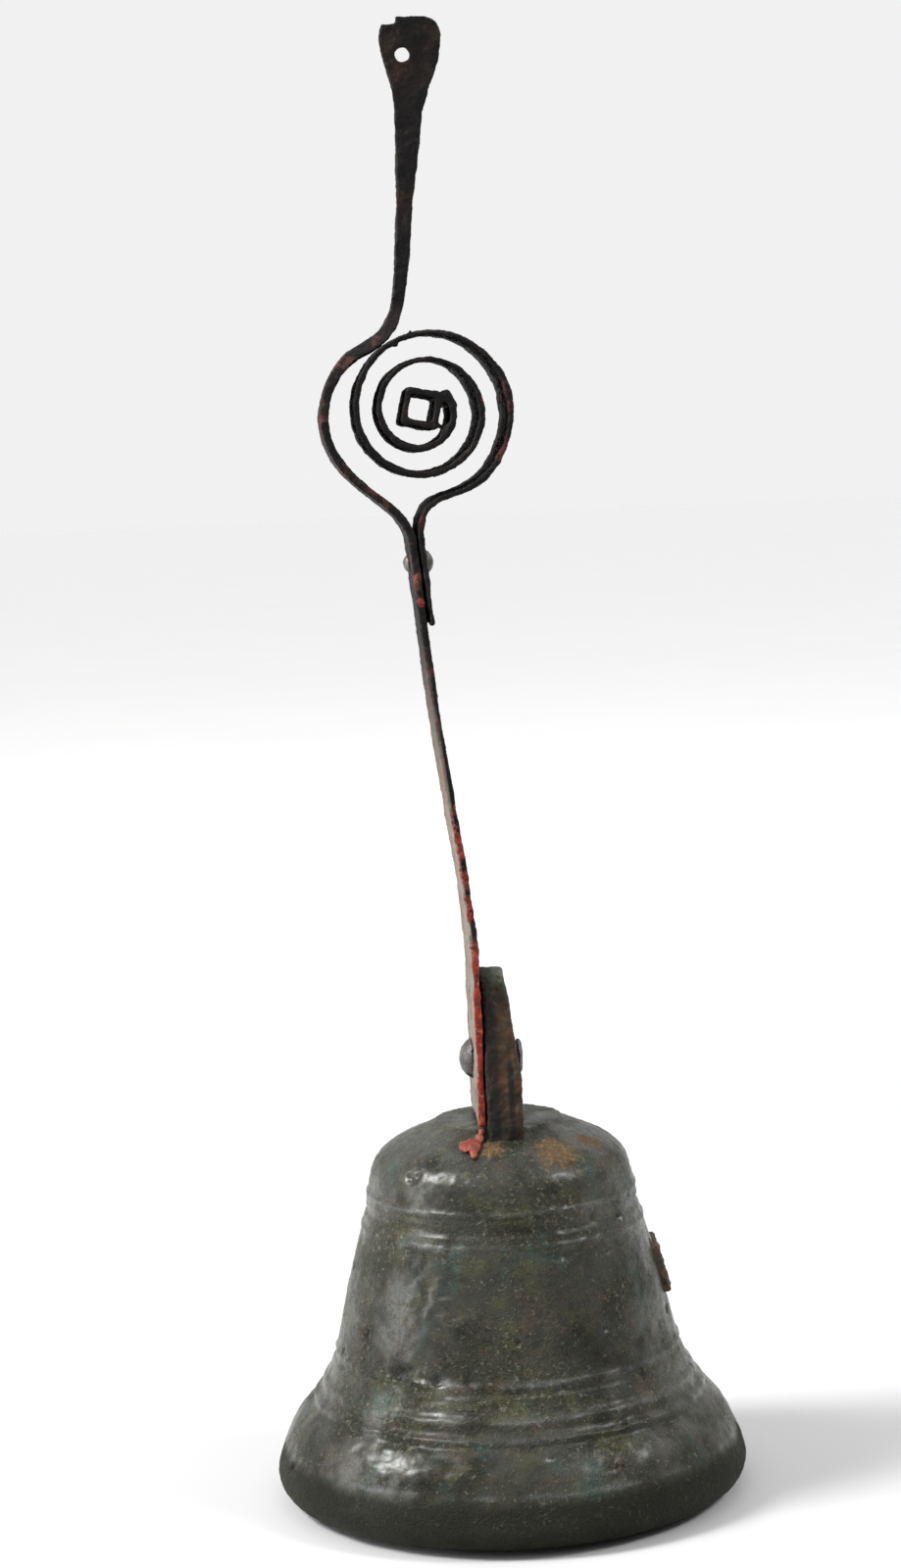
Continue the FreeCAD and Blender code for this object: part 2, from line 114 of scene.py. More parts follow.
def roughen(piece, texture, strength, middle=0.5, group=""):
    modify(
        piece, "DISPLACE", texture=texture, texture_coords="LOCAL",
        strength=strength, mid_level=middle, vertex_group=group,
    )


def keepWhole(piece, inside):  # keep the part nearest a place, drop loose crumbs
    vertices = piece.data.vertices
    nearest = min(vertices, key=lambda vertex: (vertex.co - inside).length_squared).index
    pick(piece, lambda co: False)
    bpy.ops.object.mode_set(mode="OBJECT")
    piece.data.vertices[nearest].select = True
    bpy.ops.object.mode_set(mode="EDIT")
    bpy.ops.mesh.select_linked(delimit=set())
    bpy.ops.mesh.select_all(action="INVERT")
    bpy.ops.mesh.delete(type="VERT")
    bpy.ops.object.mode_set(mode="OBJECT")


def shade(piece, angle=40):
    useOnly(piece)
    bpy.ops.object.shade_smooth_by_angle(angle=math.radians(angle))


def linked(name, data):
    thing = bpy.data.objects.new(name, data)
    bpy.context.scene.collection.objects.link(thing)
    return thing


def cadCopy(node, name):  # a CAD shape to work on, its split corners joined
    mesh = frame["nodes"][node].data.copy()
    piece = linked(name, mesh)
    mesh.materials.clear()
    useOnly(piece)
    bpy.ops.object.mode_set(mode="EDIT")
    bpy.ops.mesh.select_all(action="SELECT")
    bpy.ops.mesh.remove_doubles(threshold=1e-6)
    bpy.ops.object.mode_set(mode="OBJECT")
    return piece


def evenSkin(piece, voxel, smoothing):
    if piece.data.has_custom_normals:
        useOnly(piece)
        bpy.ops.mesh.customdata_custom_splitnormals_clear()
    modify(piece, "REMESH", mode="VOXEL", voxel_size=voxel)
    if smoothing:
        modify(piece, "SMOOTH", factor=0.5, iterations=smoothing)
    return piece


def blobs(name, places):  # flattened lumps joined in one mesh: place, size, direction
    made = []
    for place, size, turn in places:
        bpy.ops.object.select_all(action="DESELECT")
        bpy.ops.mesh.primitive_ico_sphere_add(subdivisions=2, radius=1.0)
        lump = bpy.context.object
        stretched = Matrix.Diagonal((*size, 1.0))
        lump.matrix_world = Matrix.Translation(place) @ turn.to_4x4() @ stretched
        settle(lump)
        made.append(lump)
    useOnly(*made)
    bpy.ops.object.join()
    return added(name)


# shader maths

class Sock:
    def __init__(self, finish, socket):
        self.finish, self.socket = finish, socket

    def maths(self, operation, *others):
        inputs = dict(enumerate((self, *others)))
        return self.finish.add("ShaderNodeMath", {"operation": operation}, inputs)

    def __add__(self, other):
        return self.maths("ADD", other)

    def __sub__(self, other):
        return self.maths("SUBTRACT", other)

    def __rsub__(self, other):
        return self.finish.add("ShaderNodeMath", {"operation": "SUBTRACT"}, {0: other, 1: self})

    def __mul__(self, other):
        return self.maths("MULTIPLY", other)

    def __truediv__(self, other):
        return self.maths("DIVIDE", other)

    __radd__, __rmul__ = __add__, __mul__

    def clamp(self):
        return self.atMost(1.0).atLeast(0.0)

    def atMost(self, limit):
        return self.maths("MINIMUM", limit)

    def atLeast(self, limit):
        return self.maths("MAXIMUM", limit)

    def away(self):
        return self.maths("ABSOLUTE")


class Finish:  # one node material
    def __init__(self, name, **surface):
        self.material = bpy.data.materials.new(name)
        self.material.use_nodes = True
        self.tree = self.material.node_tree
        self.tree.nodes.clear()
        self.output = self.tree.nodes.new("ShaderNodeOutputMaterial")
        self.body = self.tree.nodes.new("ShaderNodeBsdfPrincipled")
        self.tree.links.new(self.body.outputs[0], self.output.inputs[0])
        for key, value in surface.items():
            self.body.inputs[key.replace("_", " ")].default_value = value
        self.place = self.add("ShaderNodeTexCoord", out="Object")

    def add(self, kind, settings=None, inputs=None, out=0):
        made = self.tree.nodes.new(kind)
        for key, value in (settings or {}).items():
            setattr(made, key, value)
        for key, value in (inputs or {}).items():
            if isinstance(value, Sock):
                self.tree.links.new(value.socket, made.inputs[key])
            else:
                made.inputs[key].default_value = value
        return Sock(self, made.outputs[out])

    def noise(self, scale, detail=3.0, rough=0.55, place=None):
        return self.add(
            "ShaderNodeTexNoise", None,
            {"Vector": place or self.place, "Scale": scale, "Detail": detail, "Roughness": rough},
        )

    def ridge(self, value, low, high):  # 0 below low, 1 above high
        return self.add(
            "ShaderNodeMapRange", {"interpolation_type": "SMOOTHSTEP"},
            {"Value": value, "From Min": low, "From Max": high},
        )

    def band(self, value, rise, fall):  # 1 between where it rises and where it falls
        return self.ridge(value, *rise) * (1.0 - self.ridge(value, *fall))

    def mix(self, factor, first, second):
        return self.add(
            "ShaderNodeMix", {"data_type": "RGBA"},
            {0: factor, 6: wide(first), 7: wide(second)}, out=2,
        )

    def flecks(self, colour, pattern, low, high, share, tone):  # a tone where the pattern is high
        return self.mix(self.ridge(pattern, low, high) * share, colour, tone)

    def span(self, vector):
        return self.add("ShaderNodeVectorMath", {"operation": "LENGTH"}, {0: vector}, out="Value")

    def near(self, centre, reach):  # 1 at a place, 0 beyond its reach
        away = self.add(
            "ShaderNodeVectorMath", {"operation": "SUBTRACT"}, {0: self.place, 1: centre}
        )
        return (1.0 - self.span(away) / reach).atLeast(0.0)

    def axes(self):
        parts = self.add("ShaderNodeSeparateXYZ", None, {0: self.place}).socket.node
        return [Sock(self, parts.outputs[i]) for i in range(3)]

    def stretched(self, scale):
        return self.add("ShaderNodeMapping", None, {"Vector": self.place, "Scale": scale})

    def finish(self, height=None, distance=0.0003, strength=1.0, **surface):
        for key, value in surface.items():
            self.tree.links.new(value.socket, self.body.inputs[key.replace("_", " ")])
        if height is not None:
            bump = self.add(
                "ShaderNodeBump", None,
                {"Height": height, "Distance": distance, "Strength": strength},
            )
            self.tree.links.new(bump.socket, self.body.inputs["Normal"])
        return self.material


def wide(colour):
    return colour if isinstance(colour, Sock) else (*colour, 1.0)


def strongest(masks):
    top = masks[0]
    for mask in masks[1:]:
        top = top.atLeast(mask)
    return top


def wear(piece, material):
    piece.data.materials.clear()
    piece.data.materials.append(material)


# finishes

patina = {
    "tint": (1.0, 1.0, 0.8, 1.0),
    "dark": (0.006, 0.006, 0.004),
    "mid": (0.015, 0.016, 0.0095),
    "olive": (0.038, 0.037, 0.013),
    "teal": (0.014, 0.044, 0.038),
    "brown": (0.036, 0.022, 0.013),
    "dust": (0.19, 0.19, 0.14),
    "grit": (0.008, 0.008, 0.007),
    "pit": (0.005, 0.005, 0.005),
    # painted shade: near-black for the band under the sound bow, where the bell's own shadow falls
    "lip": (0.004, 0.004, 0.003),
    "rust": (0.115, 0.066, 0.028),
    "rustPale": (0.20, 0.130, 0.062),
    # partly wear, partly painted highlight: pale blue-grey laid on the ring crests
    "worn": (0.12, 0.125, 0.13),
    "lipHeights": (0.0118, 0.0152),
    "stains": (  # place, reach
        ((0.0125, -0.0215, 0.0865), 0.0105),
        ((-0.0035, -0.0215, 0.0880), 0.0065),
        ((0.0205, -0.0120, 0.0855), 0.0070),
    ),
    "rings": (0.0250, 0.0286, 0.0362, 0.0662, 0.0740, 0.0142),
    "ringWidth": 0.0009,
    "smears": ((0.0600, 0.0790), (0.0240, 0.0410)),  # heights where the skin is drawn out sideways
    "smearFade": 0.006,
    "relief": 0.00105,
}


def castPatina():
    make = Finish(
        "castPatina", Specular_IOR_Level=0.22, Specular_Tint=patina["tint"],
        Coat_Roughness=0.33, Coat_IOR=1.5,
    )
    z = make.axes()[2]
    broad = make.noise(42, 4, 0.6)
    cloud = make.noise(120, 5, 0.68, make.stretched((1.0, 1.0, 1.8)))
    speck = make.noise(900, 3, 0.75)
    grit = make.noise(2100, 2, 0.7)
    base = make.ridge(broad * 0.5 + cloud * 0.5, 0.40, 0.60)
    colour = make.mix(base, patina["dark"], patina["mid"])
    colour = make.flecks(colour, make.noise(150, 5, 0.7), 0.50, 0.66, 0.75, patina["olive"])
    tealTint = make.noise(85, 4, 0.6, make.stretched((1.3, 1.3, 0.6)))
    colour = make.flecks(colour, tealTint, 0.55, 0.70, 0.6, patina["teal"])
    colour = make.flecks(colour, make.noise(210, 4, 0.65), 0.52, 0.68, 0.7, patina["brown"])

    lines = [(z - ring).away() / patina["ringWidth"] for ring in patina["rings"]]
    crest = strongest([(1.0 - line).atLeast(0.0) for line in lines])
    crest = crest * make.ridge(make.noise(75, 4, 0.6), 0.42, 0.60)
    # ring crests made paler: partly rubbed wear, partly painted highlight
    colour = make.mix(crest * 0.45, colour, patina["worn"])

    # painted shade: the band below the sound bow is darkened to stand in for the bell's shadow on it; the
    # same band is also kept rougher, less coated and less dusty
    lip = 1.0 - make.ridge(z + cloud * 0.0024 - broad * 0.0012, *patina["lipHeights"])
    colour = make.mix(lip * 0.92, colour, patina["lip"])
    dusty = 0.55 - lip * 0.35
    colour = make.flecks(colour, speck + broad * 0.25, 0.70, 0.82, dusty, patina["dust"])
    colour = make.flecks(colour, grit, 0.54, 0.72, 0.55, patina["grit"])

    stain = strongest([make.near(place, reach) for place, reach in patina["stains"]])
    stain = stain * 0.75 + make.noise(260, 5, 0.8) * 0.8 + speck * 0.7
    stain = make.ridge(stain, 0.98, 1.32)
    rust = make.mix(make.ridge(speck, 0.48, 0.62), patina["rust"], patina["rustPale"])
    colour = make.mix(stain * 0.7, colour, rust)
    pit = make.add("ShaderNodeAttribute", {"attribute_name": "pit"}, out="Fac")
    colour = make.flecks(colour, pit, 0.25, 0.9, 0.9, patina["pit"])

    fade = patina["smearFade"]
    smear = strongest([
        make.band(z, (low, low + fade), (high - fade, high)) for low, high in patina["smears"]
    ])
    rough = 0.20 + cloud * 0.16 + make.ridge(speck, 0.40, 0.72) * 0.18 + stain * 0.3
    rough = (rough + pit * 0.25 - crest * 0.05 - smear * 0.06 + lip * 0.35).clamp()
    polish = make.ridge(make.noise(70, 4, 0.65), 0.36, 0.60) * 0.7 + 0.06
    polish = polish * (1.0 - lip * 0.9) * (1.0 - stain)
    polish = (polish * (1.0 - make.ridge(speck, 0.50, 0.66) * 0.7)).clamp()
    turned = make.noise(1.0, 3, 0.6, make.stretched((26.0, 26.0, 1300.0)))
    gritty = (speck * 0.9 + grit * 0.8) * (1.0 - smear * 0.5)
    height = gritty + turned * 0.30 * smear + make.noise(300, 3, 0.6) * 0.4
    return make.finish(
        height, patina["relief"], 1.0, Base_Color=colour, Roughness=rough,
        Metallic=0.06 + crest * 0.2, Coat_Weight=polish,
    )


paint = {
    "iron": (0.004, 0.0035, 0.0035),
    "ironWarm": (0.010, 0.007, 0.006),
    "grit": (0.006, 0.005, 0.005),
    "olive": (0.022, 0.021, 0.013),
    "reddish": (0.13, 0.045, 0.034),
    "bloom": (0.205, 0.175, 0.140),
    "pink": (0.16, 0.07, 0.055),
    "lead": (0.195, 0.022, 0.013),
    "leadPale": (0.34, 0.075, 0.045),
    "leadDark": (0.060, 0.018, 0.014),
    "bow": (0.105, 0.034, 0.026),
    "runs": ((0.088, 0.176, 1.0), (0.200, 0.226, 0.9)),  # from, to, how much of the edge is red
    "frontEdge": (-0.0157, -0.0140),
    "leftFace": (-0.0051, -0.0045),
    "leanFrom": 0.133, "lean": 0.113,
    "bloomEnds": (0.155, 0.212),
    "bowRise": (0.222, 0.232), "bowFall": (0.274, 0.290), "bowOutside": (-0.0320, -0.0240),
    "relief": 0.00045,
}


def paintedRust():
    make = Finish("paintedRust", Specular_IOR_Level=0.14)
    x, y, z = make.axes()
    broad = make.noise(75, 4, 0.62)
    flake = make.noise(420, 4, 0.7)
    grit = make.noise(1500, 3, 0.7)
    colour = make.mix(make.ridge(broad, 0.40, 0.66), paint["iron"], paint["ironWarm"])
    belowTop = 0.5 - make.ridge(z, 0.280, 0.300) * 0.4
    rubbed = make.noise(130, 4, 0.65)
    colour = make.flecks(colour, rubbed, 0.54, 0.68, belowTop, paint["reddish"])
    colour = make.flecks(colour, make.noise(260, 4, 0.7), 0.55, 0.68, 0.4, paint["olive"])

    front = 1.0 - make.ridge(y, *paint["frontEdge"])
    painted = strongest([
        make.band(z, (low - 0.004, low + 0.004), (high - 0.006, high + 0.006)) * share
        for low, high, share in paint["runs"]
    ])
    broken = make.ridge(z, 0.116, 0.145) * 0.20
    edgePaint = front * painted + make.noise(260, 4, 0.65) * 1.1 - broken
    edgePaint = make.ridge(edgePaint, 1.30, 1.42)

    # grey bloom down the strip's left face, thinning as it climbs
    lean = (z - paint["leanFrom"]).atLeast(0.0) * paint["lean"]
    leftFace = 1.0 - make.ridge(x + lean, *paint["leftFace"])
    lowerLeft = leftFace * (1.0 - make.ridge(z, *paint["bloomEnds"]))
    streaks = make.noise(1.0, 5, 0.7, make.stretched((160.0, 160.0, 38.0)))
    dirt = make.ridge(streaks * 0.7 + flake * 0.45, 0.50, 0.74)
    bloom = lowerLeft * make.ridge(broad + flake * 0.3, 0.30, 0.52)
    colour = make.mix(bloom * (0.92 - dirt * 0.62), colour, paint["bloom"])
    pinkish = lowerLeft * make.ridge(z, 0.130, 0.160)
    pinkish = pinkish * make.ridge(make.noise(170, 4, 0.6), 0.46, 0.62)
    colour = make.mix(pinkish * 0.5, colour, paint["pink"])

    lead = make.ridge(make.noise(650, 3, 0.65), 0.52, 0.66)
    lead = make.mix(lead, paint["lead"], paint["leadPale"])
    lead = make.flecks(lead, make.noise(520, 3, 0.65), 0.53, 0.64, 0.8, paint["leadDark"])
    colour = make.mix(edgePaint, colour, lead)
    onBow = make.band(z, paint["bowRise"], paint["bowFall"])
    outside = 1.0 - make.ridge(x, *paint["bowOutside"])
    bowPaint = make.ridge(make.noise(200, 5, 0.7) + outside * 0.11, 0.60, 0.74) * onBow
    colour = make.mix(bowPaint * 0.75, colour, paint["bow"])
    colour = make.flecks(colour, grit, 0.56, 0.74, 0.5, paint["grit"])
    return make.finish(
        flake * 0.8 + grit * 0.32 + edgePaint * 0.5, paint["relief"], 1.0, Base_Color=colour,
        Roughness=(0.42 + flake * 0.32 - edgePaint * 0.08).clamp(), Metallic=0.2 - edgePaint * 0.2,
    )


springTones = {
    "black": (0.003, 0.003, 0.003),
    "brown": (0.010, 0.007, 0.006),
    "grey": (0.026, 0.027, 0.028),
    "rust": (0.085, 0.022, 0.020),
    "grit": (0.004, 0.004, 0.004),
    "outside": (-0.0010, 0.0075), "outsideRise": (0.232, 0.245), "outsideFall": (0.262, 0.274),
    "relief": 0.00045,
}


def springRust():
    make = Finish("springRust", Specular_IOR_Level=0.16)
    tones = springTones
    x, _, z = make.axes()
    broad = make.noise(110, 4, 0.62)
    flake = make.noise(420, 4, 0.7)
    grit = make.noise(1500, 3, 0.7)
    colour = make.mix(make.ridge(broad, 0.42, 0.64), tones["black"], tones["brown"])
    colour = make.flecks(colour, flake, 0.56, 0.70, 0.5, tones["grey"])
    outer = make.ridge(x, *tones["outside"])
    outer = outer * make.band(z, tones["outsideRise"], tones["outsideFall"])
    pink = make.noise(190, 5, 0.7) + outer * 0.16
    colour = make.flecks(colour, pink, 0.60, 0.76, 0.75, tones["rust"])
    colour = make.flecks(colour, grit, 0.60, 0.78, 0.5, tones["grit"])
    return make.finish(
        flake * 0.8 + grit * 0.3, tones["relief"], 1.0, Base_Color=colour,
        Roughness=(0.42 + flake * 0.36).clamp(), Metallic=0.2 + broad * 0.2,
    )


ironTones = {
    "dark": (0.040, 0.038, 0.037),
    "light": (0.105, 0.098, 0.094),
    "rust": (0.11, 0.045, 0.028),
    "relief": 0.0003,
}


def hammeredIron():
    make = Finish("hammeredIron", Specular_IOR_Level=0.5)
    broad = make.noise(260, 3, 0.6)
    flake = make.noise(900, 4, 0.65)
    colour = make.mix(make.ridge(broad, 0.40, 0.62), ironTones["dark"], ironTones["light"])
    colour = make.flecks(colour, make.noise(420, 4, 0.6), 0.56, 0.70, 0.6, ironTones["rust"])
    return make.finish(
        flake * 0.5 + broad * 0.6, ironTones["relief"], 0.8, Base_Color=colour,
        Roughness=(0.30 + flake * 0.30).clamp(), Metallic=0.55 - broad * 0.2,
    )


lugTones = {
    "dark": (0.014, 0.011, 0.006),
    "brown": (0.052, 0.028, 0.014),
    "red": (0.080, 0.032, 0.018),
    "teal": (0.018, 0.045, 0.038),
    # painted light: pale tone for the lug's top, where light falls on it from above
    "dust": (0.13, 0.14, 0.09),
    "shadow": (0.006, 0.006, 0.005),
    "seam": (0.006, 0.006, 0.006),
    "grit": (0.010, 0.010, 0.008),
    "top": (0.1255, 0.1285), "arm": (-0.0008, 0.0022),
    "seamAt": 0.0024, "seamWidth": 0.0011, "seamEnds": (0.104, 0.110),
    "relief": 0.00045,
}


def lugPatina():
    make = Finish("lugPatina", Specular_IOR_Level=0.22)
    tones = lugTones
    x, _, z = make.axes()
    broad = make.noise(90, 4, 0.6)
    flake = make.noise(380, 4, 0.68)
    grit = make.noise(1400, 3, 0.7)
    colour = make.mix(make.ridge(broad, 0.40, 0.62), tones["dark"], tones["brown"])
    colour = make.flecks(colour, make.noise(150, 3, 0.6), 0.54, 0.68, 0.6, tones["red"])
    colour = make.flecks(colour, make.noise(200, 3, 0.5), 0.58, 0.70, 0.5, tones["teal"])
    # painted light: the lug's top is made pale, standing in for the light from above
    top = make.ridge(z + flake * 0.004, *tones["top"])
    colour = make.mix(top * 0.7, colour, tones["dust"])
    shadow = 1.0 - make.ridge(x + flake * 0.0016, *tones["arm"])
    colour = make.mix(shadow * 0.9, colour, tones["shadow"])
    seam = (1.0 - (x - tones["seamAt"]).away() / tones["seamWidth"]).atLeast(0.0)
    seam = seam * (1.0 - make.ridge(z, *tones["seamEnds"]))
    colour = make.flecks(colour, seam, 0.1, 0.7, 0.9, tones["seam"])
    colour = make.flecks(colour, grit, 0.60, 0.78, 0.5, tones["grit"])
    return make.finish(
        flake * 0.8 + grit * 0.3 + broad * 0.6, tones["relief"], 1.0, Base_Color=colour,
        Roughness=(0.48 + flake * 0.3).clamp(), Metallic=0.12 + broad * 0.15,
    )


leadTones = {
    "deep": (0.135, 0.018, 0.010),
    "bright": (0.215, 0.048, 0.026),
    "brown": (0.060, 0.042, 0.028),
    "grit": (0.05, 0.025, 0.018),
    "relief": 0.00035,
}


def redLead():
    make = Finish("redLead", Specular_IOR_Level=0.3)
    patch = make.noise(480, 4, 0.6)
    grit = make.noise(1500, 3, 0.7)
    colour = make.mix(make.ridge(patch, 0.42, 0.62), leadTones["deep"], leadTones["bright"])
    colour = make.flecks(colour, make.noise(600, 4, 0.75), 0.49, 0.62, 0.8, leadTones["brown"])
    colour = make.flecks(colour, grit, 0.56, 0.72, 0.5, leadTones["grit"])
    return make.finish(
        patch * 0.7 + grit * 0.3, leadTones["relief"], 0.9, Base_Color=colour,
        Roughness=(0.42 + patch * 0.25).clamp(),
    )


padTones = {
    "dark": (0.022, 0.019, 0.012),
    "rust": (0.070, 0.038, 0.020),
    "grit": (0.014, 0.011, 0.009),
    "relief": 0.0004,
}


def padRust():
    make = Finish("padRust", Specular_IOR_Level=0.4)
    patch = make.noise(300, 4, 0.65)
    grit = make.noise(1300, 3, 0.7)
    colour = make.mix(make.ridge(patch, 0.40, 0.62), padTones["dark"], padTones["rust"])
    colour = make.flecks(colour, grit, 0.56, 0.74, 0.6, padTones["grit"])
    return make.finish(
        patch * 0.8 + grit * 0.3, padTones["relief"], 1.0, Base_Color=colour,
        Roughness=(0.5 + patch * 0.3).clamp(),
    )


finishes = {
    "bell": castPatina(), "lug": lugPatina(), "pad": padRust(), "arm": paintedRust(),
    "spring": springRust(), "rivet": hammeredIron(), "paint": redLead(),
}
print("finishes made:", len(finishes))


# the bell, spun from its half section

bellSizes = {
    "crown": 0.0910, "pole": 0.0006, "disc": (0.0076, 0.0152), "insideDisc": 0.0064,
    "outside": (  # radius, height, from the disc's edge to the sound bow
        (0.0162, 0.0900), (0.0215, 0.0878), (0.0271, 0.0850), (0.0306, 0.0814), (0.0321, 0.0762),
        (0.0339, 0.0671), (0.0370, 0.0561), (0.0397, 0.0448), (0.0418, 0.0358), (0.0450, 0.0281),
        (0.0486, 0.0234),
    ),
    "bow": ((0.0486, 0.0234), (0.0524, 0.0190), (0.0548, 0.0142)),
    "toe": (
        (0.0548, 0.0142), (0.05655, 0.0096), (0.05712, 0.0058), (0.0552, 0.0024),
        (0.0517, 0.0008), (0.0475, 0.0000),
    ),
    "inside": (
        (0.0460, 0.0000), (0.0439, 0.0107), (0.0420, 0.0219), (0.0354, 0.0448), (0.0285, 0.0712),
        (0.0206, 0.0829), (0.0126, 0.0853),
    ),
    "raised": (  # height, size
        (0.0250, 0.0006), (0.0286, 0.0009), (0.0362, 0.0006), (0.0662, 0.0007), (0.0740, 0.0006),
    ),
    "sunk": ((0.0240, 0.00055), (0.0346, 0.00045), (0.0701, 0.0007)),
    "raisedLift": 0.6, "sunkLift": -0.7, "ringReach": 1.6,
    "step": 0.00062, "lipStep": 0.0008, "insideStep": 0.0022, "around": 256,
}


def smoothLine(points, step):  # one even smooth line through a few (radius, height) points
    path = [Vector(p) for p in points]
    path = [path[0] * 2 - path[1]] + path + [path[-1] * 2 - path[-2]]
    line = []
    for a, b, c, d in zip(path, path[1:], path[2:], path[3:]):
        parts = max(1, round((c - b).length / step))
        for i in range(parts):
            t = i / parts
            bend = (2 * a - 5 * b + 4 * c - d) * t * t + (3 * b - a - 3 * c + d) * t ** 3
            line.append(0.5 * (2 * b + (c - a) * t + bend))
    return line + [path[-2]]


def withRings(line):  # rings stand out from, or are cut into, the side
    shaped = []
    for i, point in enumerate(line):
        along = line[min(i + 1, len(line) - 1)] - line[max(i - 1, 0)]
        out = Vector((-along.y, along.x)).normalized()
        lift = 0.0
        for kind in ("raised", "sunk"):
            for height, size in bellSizes[kind]:
                gap = abs(point.y - height) / (size * bellSizes["ringReach"])
                lift += size * bellSizes[kind + "Lift"] * max(0.0, 1 - gap * gap)
        shaped.append(point + out * lift)
    return shaped


def spunBell():
    pole, crown = bellSizes["pole"], bellSizes["crown"]
    section = [Vector((radius, crown)) for radius in (pole, *bellSizes["disc"])]
    section += withRings(smoothLine(bellSizes["outside"], bellSizes["step"]))
    for part in ("bow", "toe"):
        section += smoothLine(bellSizes[part], bellSizes["lipStep"])[1:]
    section += smoothLine(bellSizes["inside"], bellSizes["insideStep"])
    ceiling = section[-1].y
    section += [Vector((bellSizes["insideDisc"], ceiling)), Vector((pole, ceiling))]
    bpy.ops.object.select_all(action="DESELECT")
    bpy.ops.mesh.primitive_plane_add(size=0.001)
    piece = added("bellCasting")
    bpy.ops.object.mode_set(mode="EDIT")
    bpy.ops.mesh.select_all(action="SELECT")
    bpy.ops.mesh.merge(type="CENTER")
    start = section[0]
    bpy.ops.transform.translate(value=(start.x, 0, start.y))
    for a, b in zip(section, section[1:]):
        step = (b.x - a.x, 0, b.y - a.y)
        bpy.ops.mesh.extrude_region_move(TRANSFORM_OT_translate={"value": step})
    bpy.ops.mesh.select_all(action="SELECT")
    bpy.ops.mesh.spin(
        steps=bellSizes["around"], angle=math.tau, center=(0, 0, 0), axis=(0, 0, 1),
    )
    bpy.ops.mesh.select_all(action="SELECT")
    bpy.ops.mesh.remove_doubles(threshold=5e-6)
    for height in (crown, ceiling):  # close the small holes at the two poles
        pick(piece, lambda co: abs(co.z - height) < 2e-5 and math.hypot(co.x, co.y) < 0.0008)
        bpy.ops.mesh.edge_face_add()
    bpy.ops.mesh.select_all(action="SELECT")
    bpy.ops.mesh.normals_make_consistent(inside=False)
    bpy.ops.object.mode_set(mode="OBJECT")
    return piece


casting = {
    "pits": (  # x, height, reach, depth share: blow holes on the front
        (-0.0275, 0.0372, 0.0026, 1.0), (-0.0248, 0.0388, 0.0013, 0.7),
        (-0.0190, 0.0370, 0.0024, 1.0), (-0.0168, 0.0384, 0.0012, 0.6),
        (-0.0122, 0.0374, 0.0018, 0.9), (0.0105, 0.0352, 0.0011, 0.8),
        (0.0122, 0.0640, 0.0014, 0.6), (-0.0225, 0.0812, 0.0014, 0.8),
        (0.0108, 0.0784, 0.0013, 0.9), (0.0060, 0.0215, 0.0012, 0.7),
        (-0.0150, 0.0660, 0.0009, 0.6), (0.0230, 0.0262, 0.0012, 0.6),
    ),
    "patches": (  # x, height, reach: rough, flaking skin
        (-0.0300, 0.0205, 0.0100), (-0.0235, 0.0185, 0.0080), (-0.0220, 0.0350, 0.0075),
        (-0.0190, 0.0560, 0.0105), (0.0190, 0.0205, 0.0075), (-0.0120, 0.0420, 0.0090),
    ),
    "strays": 60, "strayHeights": (0.010, 0.086), "strayReach": (0.0007, 0.0014),
    "strayShare": (0.4, 0.9), "plainInside": (0.046, 0.022), "plainCrown": 0.012,
    "waveDepth": 0.0003, "skinDepth": 0.00034, "gritDepth": 0.00022, "patchDepth": 0.0006,
    "pitDepth": 0.0012,
}


def pitPlaces():  # the front ones by x, the strays by their direction from the axis
    draw = random.Random(7)
    places = [(x, None, height, reach, share) for x, height, reach, share in casting["pits"]]
    for _ in range(casting["strays"]):
        turn = draw.uniform(0, math.tau)
        height = draw.uniform(*casting["strayHeights"])
        reach = draw.uniform(*casting["strayReach"])
        share = draw.uniform(*casting["strayShare"])
        places.append((math.cos(turn), math.sin(turn), height, reach, share))
    return places


def pitDepth(co, radius, places):
    depth = 0.0
    for x, y, height, reach, share in places:
        if abs(co.z - height) > reach:
            continue
        if y is None:
            gap = math.hypot(co.x - x, co.z - height) if co.y < 0 else 1.0
        else:
            gap = math.hypot(co.x - x * radius, co.y - y * radius, co.z - height)
        if gap < reach:
            depth = max(depth, share * (1 - (gap / reach) ** 2))
    return depth


def patchStrength(co):
    rough = 0.0
    for x, height, reach in casting["patches"]:
        if co.y < 0 and abs(co.z - height) < reach:
            gap = math.hypot((co.x - x) * 0.8, co.z - height)
            rough = max(rough, 1 - (gap / reach) ** 2)
    return rough


